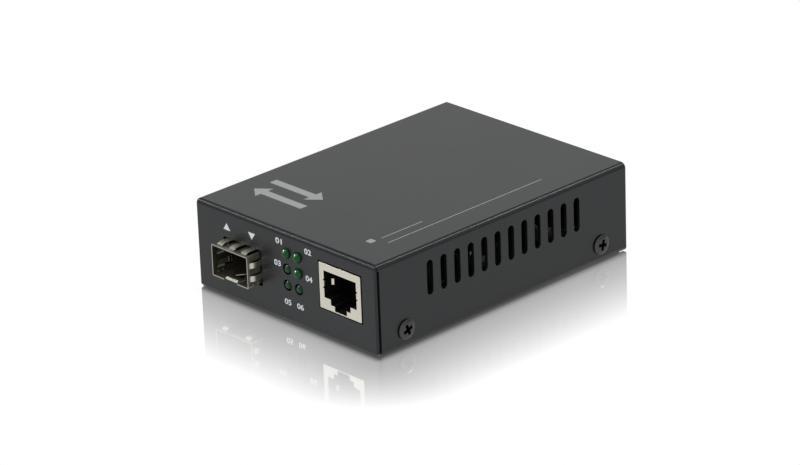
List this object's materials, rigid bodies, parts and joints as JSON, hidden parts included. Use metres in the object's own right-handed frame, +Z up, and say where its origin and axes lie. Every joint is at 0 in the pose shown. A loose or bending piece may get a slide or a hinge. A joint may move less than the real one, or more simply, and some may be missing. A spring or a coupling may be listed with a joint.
{
  "type": "fibre media converter",
  "caption": "Small black steel-cased fibre media converter with an empty pluggable-module cage, indicator lights, a shielded network socket and side vents.",
  "frame": {"origin": "middle of the underside of the housing, where it rests", "axes": "+Z up, -Y out of the front panel with the cage and the socket, +X to the right as the front panel is read"},
  "size_m": [0.0728, 0.0998, 0.026],
  "materials": {
    "powder_coat": "fine-textured satin black powder coat",
    "zinc_steel": "zinc-plated steel",
    "black_screw": "black-coated steel, satin",
    "plated_brass": "machined brass, lightly plated",
    "board_laminate": "green solder mask over glass laminate",
    "cage_metal": "tin-plated spring alloy, warm grey",
    "shield_metal": "nickel-plated brass, satin",
    "black_moulding": "glass-filled black plastic",
    "gold_contact": "gold-plated phosphor bronze",
    "tinned_lead": "tinned copper",
    "green_lens": "green-tinted clear epoxy",
    "chip_moulding": "moulded epoxy package",
    "can_aluminium": "bare aluminium can",
    "crystal_nickel": "nickel-plated can",
    "ferrite": "ferrite, matt dark grey",
    "ceramic": "ceramic body"
  },
  "bodies": {
    "root": {"top_cover": "powder_coat", "bottom_tray": "powder_coat", "cover_screws": "black_screw", "board_standoffs": "plated_brass", "board_screws": "zinc_steel", "circuit_board": "board_laminate", "sfp_cage": "cage_metal", "sfp_spring_collar": "cage_metal", "sfp_edge_connector": "black_moulding", "sfp_edge_contacts": "gold_contact", "rj45_shield": "shield_metal", "rj45_insert": "black_moulding", "rj45_contacts": "gold_contact", "led_leads": "tinned_lead", "dc_jack_body": "black_moulding", "dc_jack_pin": "tinned_lead", "dc_jack_contact": "tinned_lead", "converter_chip": "chip_moulding", "magnetics_module": "chip_moulding", "magnetics_leads": "tinned_lead", "memory_chip": "chip_moulding", "memory_leads": "tinned_lead", "crystal_can": "crystal_nickel", "capacitor_cans": "can_aluminium", "capacitor_bases": "black_moulding", "power_inductor": "ferrite", "voltage_regulator": "chip_moulding", "regulator_leads": "tinned_lead", "small_parts": "ceramic", "led_upper_left": "green_lens", "led_upper_right": "green_lens", "led_middle_left": "green_lens", "led_middle_right": "green_lens", "led_lower_left": "green_lens", "led_lower_right": "green_lens"}
  },
  "joints": []
}
